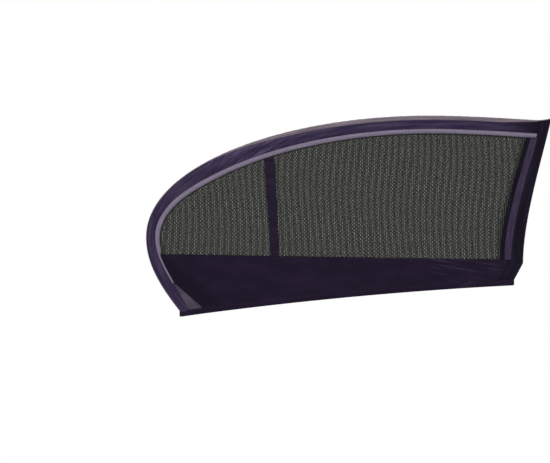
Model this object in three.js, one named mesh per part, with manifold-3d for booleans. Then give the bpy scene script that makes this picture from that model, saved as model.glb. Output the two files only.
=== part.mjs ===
// Stretch sunshade for a car's rear side window, in millimetres, +Z up.
//
// It is a flat cloth sock that is pulled down over the door's window frame. Two walls of net, one
// on the cabin side (-Y) and one on the weather side (+Y), hang from an edge band that goes round
// the frame. Solid cloth borders the net, a grey piping runs round the cabin side's window, a strap
// divides that window, and a skirt below it ends in an elastic hem round the open mouth.
//
// The origin is the seat on the door frame: inside the edge band, under the highest point of the
// arch and in the middle of the pocket. X runs towards the car's front, and the sewn pieces lie in
// layers along Y.
import * as THREE from 'three';
import { mergeVertices } from 'three/addons/utils/BufferGeometryUtils.js';
import Module from 'manifold-3d';

// Outline, seen from the cabin side and measured from the crown.
const noseReach = 712; // back to the rounded rear end
const noseDrop = 306;
const tailReach = 613; // back to the lower rear end
const tailDrop = 510;
const tailLean = 66; // how far the tail's curve leans back, and how far it rises doing so
const tailRise = 80;
const noseFullBelow = 66; // how full the curve is below the nose, above it and behind the crown
const noseFullAbove = 176;
const crownFull = 378;
const neckReach = 268; // forward to the dip just before the pointed front corner
const neckDrop = 11.5;
const cornerReach = 307; // forward to the tip of that corner
const cornerDrop = 7;
const cornerLean = 23; // how far the front edge's curve leans back below that tip
const kneeReach = 235.5; // forward to the knee at the foot of the front edge
const kneeDrop = 372;
const kneeCut = 28; // the cut-off corner below the knee, per this much drop
const kneeCutDrop = 52;

// Window, skirt and hem.
const beltDrop = 360; // the net's lower edge, below the crown
const beltFall = 0.0158; // how much that edge falls for each millimetre forward
const hemTailRise = 6; // the hem's lower edge at its rear end, above the tail's end
const hemKneeFall = 55; // and at its front end, below the knee
const hemRise = 10; // how far the hem arches up between its ends
const hemHeight = 15;
const hemThick = 4;
const skirtFlare = 12; // how far the skirt stands off the door at the hem, cabin side
const rearFlare = 6; // and weather side
const gussetFoot = 48; // the grey gusset's width along the hem, from the tail's end
const gussetApexOut = 29; // its upper corner, behind and above the tail's end
const gussetApexRise = 89;

// Border widths, measured in from the outline.
const borderTail = 19;
const borderElbow = 29;
const borderNose = 25;
const borderShoulder = 39;
const borderCrown = 36;
const frontEdgeTop = 29; // the border along the front edge, at its top and its foot
const frontEdgeFoot = 38;
const pipingTail = 4.5;
const pipingElbow = 10.5;
const pipingNose = 12;
const pipingCrown = 11;
const trimWidth = 13;
const bindingWidth = 10;
const rollCrown = 13; // how deep the edge band's roll is over the frame's top, and elsewhere
const rollSide = 3.5;

// Strap across the window.
const strapTopReach = 402; // back to its middle, at its top end and at the belt
const strapFootReach = 387;
const strapTopWidth = 26;
const strapFootWidth = 21.5;
const strapTopDrop = 90; // a level above its top end, which the border's edge cuts off

// Cloth, seams and the frame that the pocket takes.
const frameThick = 30;
const cloth = 1.2;
const seamGap = 0.3; // sewn pieces lie this far apart
const lap = 8; // how far one piece runs under the next at a seam
const borderLap = 4; // how far the border runs under the piping
const pipingHeight = 2.4; // its crown, over edges this thick
const pipingEdge = 0.4;
const borderDome = 1.6; // how far the border bulges over the frame
const pleatHeight = 1.8; // the two lengthwise folds in the front edge's border
const creaseHeight = 1.4; // the folds that fan out of the skirt's front corner
const slackHeight = 1.3; // the slanting folds where the border turns over the shoulder
const slackPitch = 54; // one such fold to the next, along the outline
const slackSlant = 0.9; // how many pitches a fold runs forward across the border
const slackFrom = 0.22; // where they start and end, as parts of the curve from nose to crown
const slackTo = 0.72;
const gatherHeight = 1.8; // the elastic's gathers in the hem and the skirt's foot
const gatherPitch = 80;

// Net: upright ridges on a wall, and gaps in staggered columns.
const ridgePitch = 18;
const ridgeWidth = 6;
const ridgeHeight = 0.7;
const gapPitchX = 54;
const gapPitchZ = 60;
const gapWidth = 10;
const gapHeight = 32;
const gapMargin = 10; // no gap comes closer than this to the net's own edge

// Elastic inside the hem.
const hemWall = 1;
const hemSlit = 0.8; // the hem's fold is open by this much along its top
const elasticHeight = 11;
const elasticThick = 1.2;

// Layers along Y, as the distance of each layer's inner face from the pocket's middle.
const pocketHalf = frameThick / 2;
const netLayer = pocketHalf;
const clothLayer = netLayer + cloth + seamGap;
const trimLayer = clothLayer + cloth + seamGap;
const FAR = 2000; // beyond the part in every direction

const wasm = await Module();
wasm.setup();

// A closed geometry as a solid.
function solid(geometry) {
  const bare = new THREE.BufferGeometry();
  bare.setAttribute('position', geometry.getAttribute('position'));
  bare.setIndex(geometry.index);
  const merged = mergeVertices(bare, 1e-4);
  return new wasm.Manifold(new wasm.Mesh({
    numProp: 3,
    vertProperties: new Float32Array(merged.attributes.position.array),
    triVerts: new Uint32Array(merged.index.array),
  }));
}

// A solid as a geometry.
function geometryOf(body) {
  const mesh = body.getMesh();
  const stride = mesh.numProp;
  const positions = new Float32Array(mesh.numVert * 3);
  for (let i = 0; i < mesh.numVert; i++) {
    positions.set(mesh.vertProperties.subarray(i * stride, i * stride + 3), i * 3);
  }
  const geometry = new THREE.BufferGeometry();
  geometry.setAttribute('position', new THREE.BufferAttribute(positions, 3));
  geometry.setIndex(new THREE.BufferAttribute(new Uint32Array(mesh.triVerts), 1));
  geometry.computeVertexNormals();
  return geometry;
}

// The outline [x, z] raised along Y from yLow to yHigh.
function prism(outline, yLow, yHigh) {
  const shape = new THREE.Shape(outline.map(([x, z]) => new THREE.Vector2(x, z)));
  const geometry = new THREE.ExtrudeGeometry(shape, { depth: yHigh - yLow, bevelEnabled: false });
  geometry.rotateX(Math.PI / 2);
  geometry.translate(0, yHigh, 0);
  return solid(geometry);
}

// Rings of [x, y, z] points joined into one skin. A loop of rings closes on itself, and any other
// run of rings gets a flat cap at each end.
function skin(rings, loop, capOutline) {
  const count = rings[0].length;
  const triangles = [];
  const steps = loop ? rings.length : rings.length - 1;
  for (let i = 0; i < steps; i++) {
    const here = i * count;
    const next = ((i + 1) % rings.length) * count;
    for (let j = 0; j < count; j++) {
      const k = (j + 1) % count;
      triangles.push(here + j, next + j, next + k, here + j, next + k, here + k);
    }
  }
  if (!loop) {
    const flat = capOutline.map(([a, b]) => new THREE.Vector2(a, b));
    const last = (rings.length - 1) * count;
    const turned = THREE.ShapeUtils.isClockWise(flat);
    for (const face of THREE.ShapeUtils.triangulateShape(flat, [])) {
      const [a, b, c] = turned ? face.reverse() : face;
      triangles.push(a, b, c, last + a, last + c, last + b);
    }
  }
  const geometry = new THREE.BufferGeometry();
  geometry.setAttribute('position', new THREE.Float32BufferAttribute(rings.flat(2), 3));
  geometry.setIndex(triangles);
  const made = solid(geometry);
  if (made.volume() > 0) return made;
  for (let i = 0; i < triangles.length; i += 3) {
    [triangles[i + 1], triangles[i + 2]] = [triangles[i + 2], triangles[i + 1]];
  }
  geometry.setIndex(triangles);
  return solid(geometry);
}

// A value that runs smoothly through knots [[s, value], ...].
function through(knots) {
  return (s) => {
    const i = knots.findIndex(([at]) => at >= s);
    if (i <= 0) return i < 0 ? knots[knots.length - 1][1] : knots[0][1];
    const [from, low] = knots[i - 1];
    const [to, high] = knots[i];
    return low + (high - low) * (0.5 - 0.5 * Math.cos((Math.PI * (s - from)) / (to - from)));
  };
}

// Stations along a run of curves: each has its place, the direction in towards the window, and s,
// which counts curves and parts of them from the run's start.
function stationsAt(curves, marks) {
  return marks.map((s) => {
    const c = Math.min(Math.floor(s), curves.length - 1);
    const at = curves[c].getPointAt(s - c);
    const ahead = curves[c].getTangentAt(s - c);
    return { x: at.x, z: at.y, inX: ahead.y, inZ: -ahead.x, s };
  });
}

// Marks in even steps: spans is [[from, to, steps], ...], one after the other.
function evenMarks(spans) {
  const marks = [spans[0][0]];
  for (const [from, to, steps] of spans) {
    for (let i = 1; i <= steps; i++) marks.push(from + ((to - from) * i) / steps);
  }
  return marks;
}

const point = (x, z) => new THREE.Vector2(x, z);

// The arch runs from the tail up round the nose, over the crown and on to the front corner.
const archCurves = [
  new THREE.CubicBezierCurve(
    point(-tailReach, -tailDrop),
    point(-tailReach - tailLean, -tailDrop + tailRise),
    point(-noseReach, -noseDrop - noseFullBelow),
    point(-noseReach, -noseDrop),
  ),
  new THREE.CubicBezierCurve(
    point(-noseReach, -noseDrop),
    point(-noseReach, -noseDrop + noseFullAbove),
    point(-crownFull, 0),
    point(0, 0),
  ),
  new THREE.CubicBezierCurve(
    point(0, 0),
    point(neckReach * 0.36, 0),
    point(neckReach * 0.7, -neckDrop * 0.55),
    point(neckReach, -neckDrop),
  ),
  new THREE.QuadraticBezierCurve(
    point(neckReach, -neckDrop),
    point((neckReach + cornerReach) / 2, -neckDrop - 1),
    point(cornerReach, -cornerDrop),
  ),
];
const arch = stationsAt(archCurves, evenMarks([[0, 1, 7], [1, 2, 24], [2, 3, 7], [3, 4, 3]]));
const archEnd = archCurves.length;

// The front edge runs from that corner down to the knee, and on past the hem's corner.
const frontEdge = stationsAt([
  new THREE.CubicBezierCurve(
    point(cornerReach, -cornerDrop),
    point(cornerReach - cornerLean, -cornerDrop - (kneeDrop - cornerDrop) * 0.28),
    point(kneeReach + 0.5, -cornerDrop - (kneeDrop - cornerDrop) * 0.69),
    point(kneeReach, -kneeDrop),
  ),
  new THREE.LineCurve(
    point(kneeReach, -kneeDrop),
    point(kneeReach - 1.5 * kneeCut, -kneeDrop - 1.5 * kneeCutDrop),
  ),
], evenMarks([[0, 1, 10], [1, 2, 2]]));

const borderWidth = through([
  [0, borderTail], [0.5, borderElbow], [1, borderNose],
  [1.35, borderShoulder], [2, borderCrown], [archEnd, borderCrown],
]);
const pipingWidth = through([
  [0.74, pipingTail], [0.84, pipingElbow], [1.1, pipingNose], [2, pipingCrown],
]);
const rollDepth = through([
  [1.25, rollSide], [1.65, rollCrown], [2.6, rollCrown], [3.2, rollSide],
]);
const frontBorderWidth = through([[0, frontEdgeTop], [1, frontEdgeFoot]]);
const windowInset = (s) => borderWidth(s) + pipingWidth(s);
const frontWindowInset = (s) => frontBorderWidth(s) + trimWidth + bindingWidth;

// The curve that lies a given inset inside a run of stations.
function inside(stations, inset) {
  return stations.map((st) => {
    const d = inset(st.s);
    return [st.x + st.inX * d, st.z + st.inZ * d];
  });
}

// Everything that lies further in from the arch, or from the front edge, than a given inset.
function withinArch(inset) {
  const curve = inside(arch, inset);
  const [endX, endZ] = curve[curve.length - 1];
  return prism([...curve, [endX + FAR, endZ], [FAR, -FAR], [curve[0][0], -FAR]], -FAR, FAR);
}
function withinFront(inset) {
  const curve = inside(frontEdge, inset);
  const [topX, topZ] = curve[0];
  const foot = curve[curve.length - 1];
  const beyond = [[foot[0], -FAR], [-FAR, -FAR], [-FAR, FAR], [topX, FAR], [topX, topZ]];
  return prism([...curve, ...beyond], -FAR, FAR);
}

// The x where a curve first passes a level.
function crossing(curve, level) {
  const over = curve.map(([x, z]) => z - level(x));
  const i = over.findIndex((height, k) => k > 0 && height * over[k - 1] <= 0);
  const share = over[i - 1] / (over[i - 1] - over[i]);
  return curve[i - 1][0] + (curve[i][0] - curve[i - 1][0]) * share;
}

const hemTailDrop = tailDrop - hemTailRise;
const hemKneeDrop = kneeDrop + hemKneeFall;
const skirtFoot = tailReach - gussetFoot;
const gussetApexReach = tailReach + gussetApexOut;
const gussetApexDrop = tailDrop - gussetApexRise;
const belt = (x) => -beltDrop - beltFall * x;
const hemSpanRear = -tailReach;
const hemSpanFront = kneeReach - kneeCut;
function hemFoot(x) {
  const u = (x - hemSpanRear) / (hemSpanFront - hemSpanRear);
  return -hemTailDrop + (hemTailDrop - hemKneeDrop) * u + hemRise * 4 * u * (1 - u);
}
const hemTop = (x) => hemFoot(x) + hemHeight;
const hemRearX = crossing(inside(arch, () => 0), hemTop);
const hemFrontX = crossing(inside(frontEdge, () => 0), hemTop);

// Everything above a level that changes along X between two places and is flat beyond them.
function above(level, xLow, xHigh, steps) {
  const edge = [[-FAR, level(xLow)]];
  for (let i = 0; i <= steps; i++) {
    const x = xLow + ((xHigh - xLow) * i) / steps;
    edge.push([x, level(x)]);
  }
  return prism([...edge, [FAR, level(xHigh)], [FAR, FAR], [-FAR, FAR]], -FAR, FAR);
}
const aboveHem = above((x) => hemTop(x) + 2 * seamGap, hemRearX, hemFrontX, 40);
const aboveBelt = (clearance) => above((x) => belt(x) + clearance, -noseReach, cornerReach, 1);

// A strip of cloth that follows a run of stations. Its section is a closed outline of [inset, y].
function strip(stations, section) {
  const rings = stations.map((st) => {
    return section(st.s).map(([d, y]) => [st.x + st.inX * d, y, st.z + st.inZ * d]);
  });
  return skin(rings, false, section(stations[0].s));
}

// A section whose outer face lies at heights [[share of width, lift], ...] over a layer. side is -1
// for the cabin side and 1 for the weather side.
function clothSection(side, layer, from, to, lifts) {
  const at = (share) => from + (to - from) * share;
  const inner = lifts.map(([share, lift]) => [at(share), side * (layer + lift)]);
  const outer = lifts.map(([share, lift]) => [at(share), side * (layer + cloth + lift)]);
  return [...inner, ...outer.reverse()];
}

// The gathers that the elastic draws into the mouth, dying out at its two ends.
function gatherAt(x) {
  const u = THREE.MathUtils.clamp((x - hemRearX) / (hemFrontX - hemRearX), 0, 1);
  const wave = Math.sin((Math.PI * (x - hemRearX)) / gatherPitch) ** 2;
  return gatherHeight * wave * Math.min(1, 8 * u, 8 * (1 - u));
}

// The skirt's stand-off from the door: none at its ends and at the belt, all of it at the hem. share
// is how far down from the belt a point lies.
function flareAt(x, share, flare) {
  const u = THREE.MathUtils.clamp((x + skirtFoot) / (skirtFoot + hemFrontX), 0, 1);
  return flare * 4 * u * (1 - u) * share * share;
}

// Three folds that fan out from the skirt's front corner and die away to the rear.
function creaseAt(x, share) {
  const away = (hemFrontX - x) / (hemFrontX + skirtFoot);
  if (away < 0) return 0;
  const fan = Math.cos(Math.PI * 6 * share * Math.min(1, 0.4 + away));
  return creaseHeight * Math.exp(-5 * away) * (0.5 + 0.5 * fan);
}

// A panel of cloth below the belt, from xLow to xHigh.
function skirtPanel(side, flare, crease, xLow, xHigh) {
  const columns = 36;
  const rows = 5;
  const spot = (i, j, thick) => {
    const x = xLow + ((xHigh - xLow) * i) / columns;
    const share = j / rows;
    const z = belt(x) + (hemTop(x) + 2 * seamGap - belt(x)) * share;
    const folds = gatherAt(x) * share ** 3 + (crease ? creaseAt(x, share) : 0);
    const lift = flareAt(x, share, flare) + folds;
    return [x, side * (clothLayer + lift + thick), z];
  };
  const rings = [];
  for (let i = 0; i <= columns; i++) {
    const ring = [];
    for (let j = 0; j <= rows; j++) ring.push(spot(i, j, 0));
    for (let j = rows; j >= 0; j--) ring.push(spot(i, j, cloth));
    rings.push(ring);
  }
  return skin(rings, false, rings[0].map(([, y, z]) => [z, side * y]));
}

// The net's wall with its ridges and gaps, cut to the window and a lap all round it.
function net(side) {
  const low = belt(hemFrontX) - lap;
  const high = 0;
  const rear = -noseReach;
  const front = cornerReach;
  const yIn = side * netLayer;
  const wallOut = side * (netLayer + cloth - ridgeHeight);
  const ridgeOut = side * (netLayer + cloth);
  const wave = [[rear, yIn], [front, yIn], [front, wallOut]];
  const ridges = Math.floor((front - rear) / ridgePitch);
  for (let i = ridges - 1; i >= 1; i--) {
    const middle = rear + i * ridgePitch;
    wave.push(
      [middle + ridgeWidth / 2, wallOut], [middle + ridgeWidth / 6, ridgeOut],
      [middle - ridgeWidth / 6, ridgeOut], [middle - ridgeWidth / 2, wallOut],
    );
  }
  wave.push([rear, wallOut]);
  const rings = [high, low].map((z) => wave.map(([x, y]) => [x, y, z]));
  let wall = skin(rings, false, wave);
  wall = wall.intersect(withinArch((s) => windowInset(s) - lap));
  wall = wall.intersect(withinFront((s) => frontWindowInset(s) - lap));
  wall = wall.intersect(aboveBelt(-lap));

  const clear = (s) => windowInset(s) + gapMargin;
  const clearFront = (s) => frontWindowInset(s) + gapMargin;
  const room = withinArch(clear).intersect(withinFront(clearFront))
    .intersect(aboveBelt(gapMargin));
  const w = gapWidth / 2;
  const lozenge = [
    [0, -gapHeight / 2], [w, -gapHeight / 3], [w, gapHeight / 3],
    [0, gapHeight / 2], [-w, gapHeight / 3], [-w, -gapHeight / 3],
  ];
  const gaps = [];
  const columns = Math.floor((front - rear) / gapPitchX);
  for (let c = 1; c < columns; c++) {
    const x = rear + ridgePitch / 2 + c * gapPitchX;
    const start = belt(x) + gapMargin + gapHeight / 2 + ((c % 2) * gapPitchZ) / 2;
    for (let z = start; z < high; z += gapPitchZ) {
      const cutter = prism(lozenge.map(([aside, up]) => [x + aside, z + up]), -FAR, FAR);
      if (cutter.subtract(room).isEmpty()) gaps.push(cutter);
    }
  }
  return wall.subtract(wasm.Manifold.union(gaps));
}

// How far the border lifts off the frame at a share of its width: a dome, and over the shoulder
// slanting folds, where the cloth is slack.
function borderLift(s, share) {
  const dome = Math.sin(Math.PI * Math.min(1, share / 0.82));
  const over = THREE.MathUtils.clamp((s - 1 - slackFrom) / (slackTo - slackFrom), 0, 1);
  const slack = Math.sin(Math.PI * over);
  const along = ((s - 1) * archCurves[1].getLength()) / slackPitch - share * slackSlant;
  return dome * (borderDome + slack * slackHeight * Math.sin(2 * Math.PI * along));
}

// The border over the arch on the cabin side, from the roll in to a given inset.
function archBorder(innerInset) {
  const shares = [0, 0.12, 0.28, 0.45, 0.62, 0.82, 1];
  const [from, to] = [1 + slackFrom, 1 + slackTo];
  const marks = evenMarks([[0, 1, 7], [1, from, 6], [from, to, 32], [to, archEnd, 13]]);
  const stations = stationsAt(archCurves, marks);
  return strip(stations, (s) => {
    const lifts = shares.map((share) => [share, borderLift(s, share)]);
    return clothSection(-1, clothLayer, rollDepth(s) + seamGap, innerInset(s), lifts);
  }).intersect(aboveHem);
}

// The plain border that backs it on the weather side.
function rearArchBorder(innerInset) {
  const flat = [[0, 0], [1, 0]];
  return strip(arch, (s) => {
    return clothSection(1, clothLayer, rollDepth(s) + seamGap, innerInset(s), flat);
  }).intersect(aboveHem);
}

// The border along the front edge, up past the arch's border. lifts are its lengthwise folds.
const pleats = [
  [0, 0], [0.14, pleatHeight], [0.3, pleatHeight * 0.15], [0.45, pleatHeight * 0.1],
  [0.62, pleatHeight * 0.8], [0.8, 0], [1, 0],
];
function frontEdgeBorder(side, innerInset, lifts) {
  const body = strip(frontEdge, (s) => {
    return clothSection(side, clothLayer, rollSide + seamGap, innerInset(s), lifts);
  });
  return body.intersect(withinArch((s) => rollDepth(s) + seamGap)).intersect(aboveHem);
}

// The edge band: a flange under each border, joined by a roll over the frame.
function edgeRoll(stations, depth) {
  const arcSteps = 6;
  const section = (s) => {
    const d = depth(s);
    const out = [[d + lap, -pocketHalf - cloth]];
    const back = [[d + lap, -pocketHalf]];
    for (let i = 0; i <= arcSteps; i++) {
      const turn = -Math.PI / 2 + (Math.PI * i) / arcSteps;
      const fall = 1 - Math.cos(turn);
      out.push([d * fall, (pocketHalf + cloth) * Math.sin(turn)]);
      back.push([cloth + (d - cloth) * fall, pocketHalf * Math.sin(turn)]);
    }
    out.push([d + lap, pocketHalf + cloth]);
    back.push([d + lap, pocketHalf]);
    return [...out, ...back.reverse()];
  };
  return strip(stations, section).intersect(aboveHem);
}

// The two edge bands meet at the front corner on the line that halves it.
function mitre(body, keepRear) {
  const last = arch[arch.length - 1];
  const first = frontEdge[0];
  const into = new THREE.Vector2(last.inX + first.inX, last.inZ + first.inZ).normalize();
  const aside = keepRear ? -1 : 1;
  const shift = new THREE.Vector2(-into.y, into.x).multiplyScalar((aside * seamGap) / 2);
  const base = new THREE.Vector2(cornerReach, -cornerDrop).add(shift);
  const near = base.clone().addScaledVector(into, -FAR);
  const far = base.clone().addScaledVector(into, FAR);
  const step = new THREE.Vector2(-into.y, into.x).multiplyScalar(aside * FAR);
  const corners = [near, far, far.clone().add(step), near.clone().add(step)].map((v) => [v.x, v.y]);
  return body.intersect(prism(corners, -FAR, FAR));
}

// A closed loop round the mouth, seen from above: along the cabin side, round the tail, back along
// the weather side and round the knee.
function mouthLoop() {
  const runSteps = 34;
  const turnSteps = 4;
  const half = clothLayer + cloth / 2;
  const turn = 8;
  const rear = hemRearX + hemThick / 2;
  const front = hemFrontX - hemThick / 2;
  const plan = [];
  const run = (side, flare, forward) => {
    for (let i = 0; i <= runSteps; i++) {
      const u = forward ? i / runSteps : 1 - i / runSteps;
      const x = rear + turn + (front - rear - 2 * turn) * u;
      plan.push([x, side * (half + flareAt(x, 1, flare) + gatherAt(x))]);
    }
  };
  const bend = (x, way, fromSide) => {
    for (let i = 1; i < turnSteps; i++) {
      const angle = (Math.PI * i) / turnSteps;
      plan.push([x + way * turn * Math.sin(angle), fromSide * half * Math.cos(angle)]);
    }
  };
  run(-1, skirtFlare, false);
  bend(rear + turn, -1, -1);
  run(1, rearFlare, true);
  bend(front - turn, 1, 1);
  return plan;
}

// A section of [outward, up] points carried round the mouth.
function roundMouth(section) {
  const plan = mouthLoop();
  const rings = plan.map(([x, y], i) => {
    const [px, py] = plan[(i + plan.length - 1) % plan.length];
    const [nx, ny] = plan[(i + 1) % plan.length];
    const long = Math.hypot(nx - px, ny - py);
    const outX = (ny - py) / long;
    const outY = -(nx - px) / long;
    return section.map(([w, h]) => [x - outX * w, y - outY * w, hemFoot(x) + h]);
  });
  return skin(rings, true);
}

function hemFold() {
  const half = hemThick / 2;
  const soft = 0.8;
  const core = half - hemWall;
  return roundMouth([
    [-hemSlit / 2, hemHeight], [-half, hemHeight - soft], [-half, soft], [-half + soft, 0],
    [half - soft, 0], [half, soft], [half, hemHeight - soft], [hemSlit / 2, hemHeight],
    [hemSlit / 2, hemHeight - hemWall], [core, hemHeight - hemWall], [core, hemWall],
    [-core, hemWall], [-core, hemHeight - hemWall], [-hemSlit / 2, hemHeight - hemWall],
  ]);
}

function hemElastic() {
  const low = hemWall + seamGap;
  const half = elasticThick / 2;
  return roundMouth([[-half, low + elasticHeight], [-half, low], [half, low], [half, low + elasticHeight]]);
}

// The piping round the window, from the gusset's upper corner to the front border.
function windowPiping() {
  const body = strip(arch, (s) => {
    const from = borderWidth(s);
    const to = windowInset(s);
    const dome = [[0, 0], [0.12, 0.6], [0.35, 0.95], [0.65, 0.95], [0.88, 0.6], [1, 0]];
    const outer = dome.map(([share, lift]) => {
      return [from + (to - from) * share, -trimLayer - pipingEdge - pipingHeight * lift];
    });
    return [[from, -trimLayer], [to, -trimLayer], ...outer.reverse()];
  });
  return body
    .intersect(above(() => -gussetApexDrop, 0, 1, 1))
    .intersect(withinFront((s) => frontBorderWidth(s) + seamGap));
}

// A strip along the front edge between two insets, from the piping down to the belt.
function frontStrip(layer, from, to, lifts) {
  const body = strip(frontEdge, (s) => clothSection(-1, layer, from(s), to(s), lifts));
  return body
    .intersect(withinArch((s) => windowInset(s) + seamGap))
    .intersect(aboveBelt(seamGap));
}

// The strap across the window: it starts beside the border's edge, under the piping.
function dividerStrap() {
  const top = -strapTopDrop;
  const foot = belt(-strapFootReach) - lap;
  const outline = [
    [-strapTopReach - strapTopWidth / 2, top], [-strapFootReach - strapFootWidth / 2, foot],
    [-strapFootReach + strapFootWidth / 2, foot], [-strapTopReach + strapTopWidth / 2, top],
  ];
  return prism(outline, -clothLayer - cloth, -clothLayer)
    .intersect(withinArch((s) => borderWidth(s) + borderLap + seamGap))
    .intersect(aboveBelt(seamGap));
}

// The skirt's rear edge: from the piping at the gusset's upper corner down to the hem, and past it.
function skirtRearEdge(shift) {
  const foot = point(-skirtFoot + shift, hemTop(-skirtFoot));
  const apex = point(-gussetApexReach + shift, -gussetApexDrop);
  const past = foot.clone().lerp(apex, -0.3);
  return [[-FAR, apex.y], [apex.x, apex.y], [foot.x, foot.y], [past.x, past.y]];
}

function frontSkirt() {
  const edge = skirtRearEdge(0);
  const keep = prism([...edge, [FAR, -FAR], [FAR, FAR], [-FAR, FAR]], -FAR, FAR);
  return skirtPanel(-1, skirtFlare, true, -noseReach, hemFrontX + lap)
    .intersect(keep)
    .intersect(withinArch((s) => borderWidth(s) + borderLap + seamGap))
    .intersect(withinFront((s) => frontBorderWidth(s) + seamGap));
}

// The gusset fills the wedge between border and skirt, and laps under both.
function cornerGusset() {
  const edge = skirtRearEdge(lap);
  return prism([...edge, [-FAR, -FAR]], -netLayer - cloth, -netLayer)
    .intersect(withinArch((s) => borderWidth(s) - lap))
    .intersect(aboveHem);
}

function rearSkirt() {
  return skirtPanel(1, rearFlare, false, -noseReach, hemFrontX + lap)
    .intersect(withinArch((s) => windowInset(s) + seamGap))
    .intersect(withinFront((s) => frontWindowInset(s) + seamGap));
}

// Dark purple stretch cloth, its lighter edge roll, grey piping and charcoal net.
const dyed = (name, color, roughness) => new THREE.MeshStandardMaterial({ name, color, roughness });
const borderCloth = dyed('border_cloth', 0x2d2438, 0.75);
const skirtCloth = dyed('skirt_cloth', 0x251c2e, 0.85);
const edgeCloth = dyed('edge_cloth', 0x6f6472, 0.8);
const pipingCloth = dyed('piping_cloth', 0x7a7282, 0.6);
const trimCloth = dyed('trim_cloth', 0x3e3448, 0.7);
const gussetCloth = dyed('gusset_cloth', 0x524a58, 0.8);
const netCloth = dyed('net_cloth', 0x454744, 0.9);
const elasticCloth = dyed('elastic', 0x1c1a20, 0.9);

const sunshade = new THREE.Group();
sunshade.name = 'side_window_sunshade';
sunshade.position.z = cloth; // the band's inner face lies at the origin

function add(name, body, material) {
  const mesh = new THREE.Mesh(geometryOf(body), material);
  mesh.name = name;
  sunshade.add(mesh);
}

add('front_net', net(-1), netCloth);
add('rear_net', net(1), netCloth);
add('edge_band', mitre(edgeRoll(arch, rollDepth), true), edgeCloth);
add('front_edge_band', mitre(edgeRoll(frontEdge, () => rollSide), false), borderCloth);
add('arch_border', archBorder((s) => borderWidth(s) + borderLap)
  .intersect(withinFront((s) => frontBorderWidth(s) + seamGap)), borderCloth);
add('front_edge_border', frontEdgeBorder(-1, frontBorderWidth, pleats), borderCloth);
add('rear_arch_border', rearArchBorder(windowInset)
  .intersect(withinFront((s) => frontWindowInset(s) + seamGap)), borderCloth);
add('rear_front_edge_border', frontEdgeBorder(1, frontWindowInset, [[0, 0], [1, 0]]), borderCloth);
add('window_piping', windowPiping(), pipingCloth);
add('front_edge_trim', frontStrip(
  trimLayer,
  (s) => frontBorderWidth(s) - borderLap,
  (s) => frontBorderWidth(s) + trimWidth,
  [[0, 0], [0.3, 0.9], [0.6, 1], [1, 0.1]],
), trimCloth);
add('front_edge_binding', frontStrip(
  clothLayer,
  (s) => frontBorderWidth(s) + seamGap,
  (s) => frontWindowInset(s),
  [[0, 0], [1, 0]],
), borderCloth);
add('divider_strap', dividerStrap(), borderCloth);
add('front_skirt', frontSkirt(), skirtCloth);
add('rear_skirt', rearSkirt(), skirtCloth);
add('corner_gusset', cornerGusset(), gussetCloth);
add('hem', hemFold(), skirtCloth);
add('hem_elastic', hemElastic(), elasticCloth);

export default sunshade;
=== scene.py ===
"""Dresses a stretch sunshade for a car's rear side window: nets, borders, piping, skirts and hem.

The shade is a flat cloth sock. X runs towards the car's front, -Y towards the cabin and Z up, and
the origin is inside the edge band at the top of the arch. Everything is in metres.
"""

import bpy
import numpy as np
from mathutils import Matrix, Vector


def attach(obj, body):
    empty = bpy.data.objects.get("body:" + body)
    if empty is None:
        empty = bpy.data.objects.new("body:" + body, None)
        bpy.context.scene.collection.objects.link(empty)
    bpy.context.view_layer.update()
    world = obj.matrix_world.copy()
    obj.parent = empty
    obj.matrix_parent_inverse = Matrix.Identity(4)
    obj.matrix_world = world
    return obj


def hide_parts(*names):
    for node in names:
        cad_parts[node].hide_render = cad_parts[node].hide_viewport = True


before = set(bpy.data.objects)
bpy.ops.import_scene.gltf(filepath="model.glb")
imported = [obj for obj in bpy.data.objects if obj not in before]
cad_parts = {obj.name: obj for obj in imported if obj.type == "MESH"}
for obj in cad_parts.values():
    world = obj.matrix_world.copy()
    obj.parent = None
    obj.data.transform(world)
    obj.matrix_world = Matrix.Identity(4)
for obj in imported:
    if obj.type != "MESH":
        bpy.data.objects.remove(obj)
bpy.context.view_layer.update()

bl_info = {
    "name": "Side Window Sunshade",
    "version": (1, 0, 0),
    "blender": (4, 5, 0),
    "location": "View3D > Sidebar > Sunshade",
    "description": "Builds the cloth, net, piping and hem of a slip-on car window sunshade",
    "category": "Object",
}

TURN = 2 * np.pi
SEAT = 0.0012  # the arch's outer edge lies one cloth above the origin
TUCK = 0.003  # how deep the cloths end inside the hem's fold
NEAR = 0.0003  # space between cloths sewn edge to edge
NET_LAP = 0.008  # how far a net or a band's flange runs in under the next cloth
APEX_RISE = 0.089  # from the tail up to the gusset's top
FOOT_REACH = 0.048  # from the tail forward to the gusset's foot
ROLL_EDGE = 0.0035  # how far the plain roll comes over a wall
BINDING = 0.023  # the dark binding's width
HALF_TAPE = 0.009  # half the width of a seam allowance
STRAP_TOP = (-0.402, 0.026)  # the strap's middle and width at its top
STRAP_FOOT = (-0.387, 0.0215)  # the same at its foot
MOUTH_STEPS = 560  # points along one side of the mouth
BEND_STEPS = 16  # points round each end of the mouth


# Sizes and colours that a user would change


def length(name, description, default):
    """A size in metres."""
    return bpy.props.FloatProperty(
        name=name, description=description, default=default, unit="LENGTH", precision=4
    )


def colour(name, description, default):
    """An sRGB colour in hex."""
    return bpy.props.StringProperty(name=name, description=description, default=default)


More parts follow.
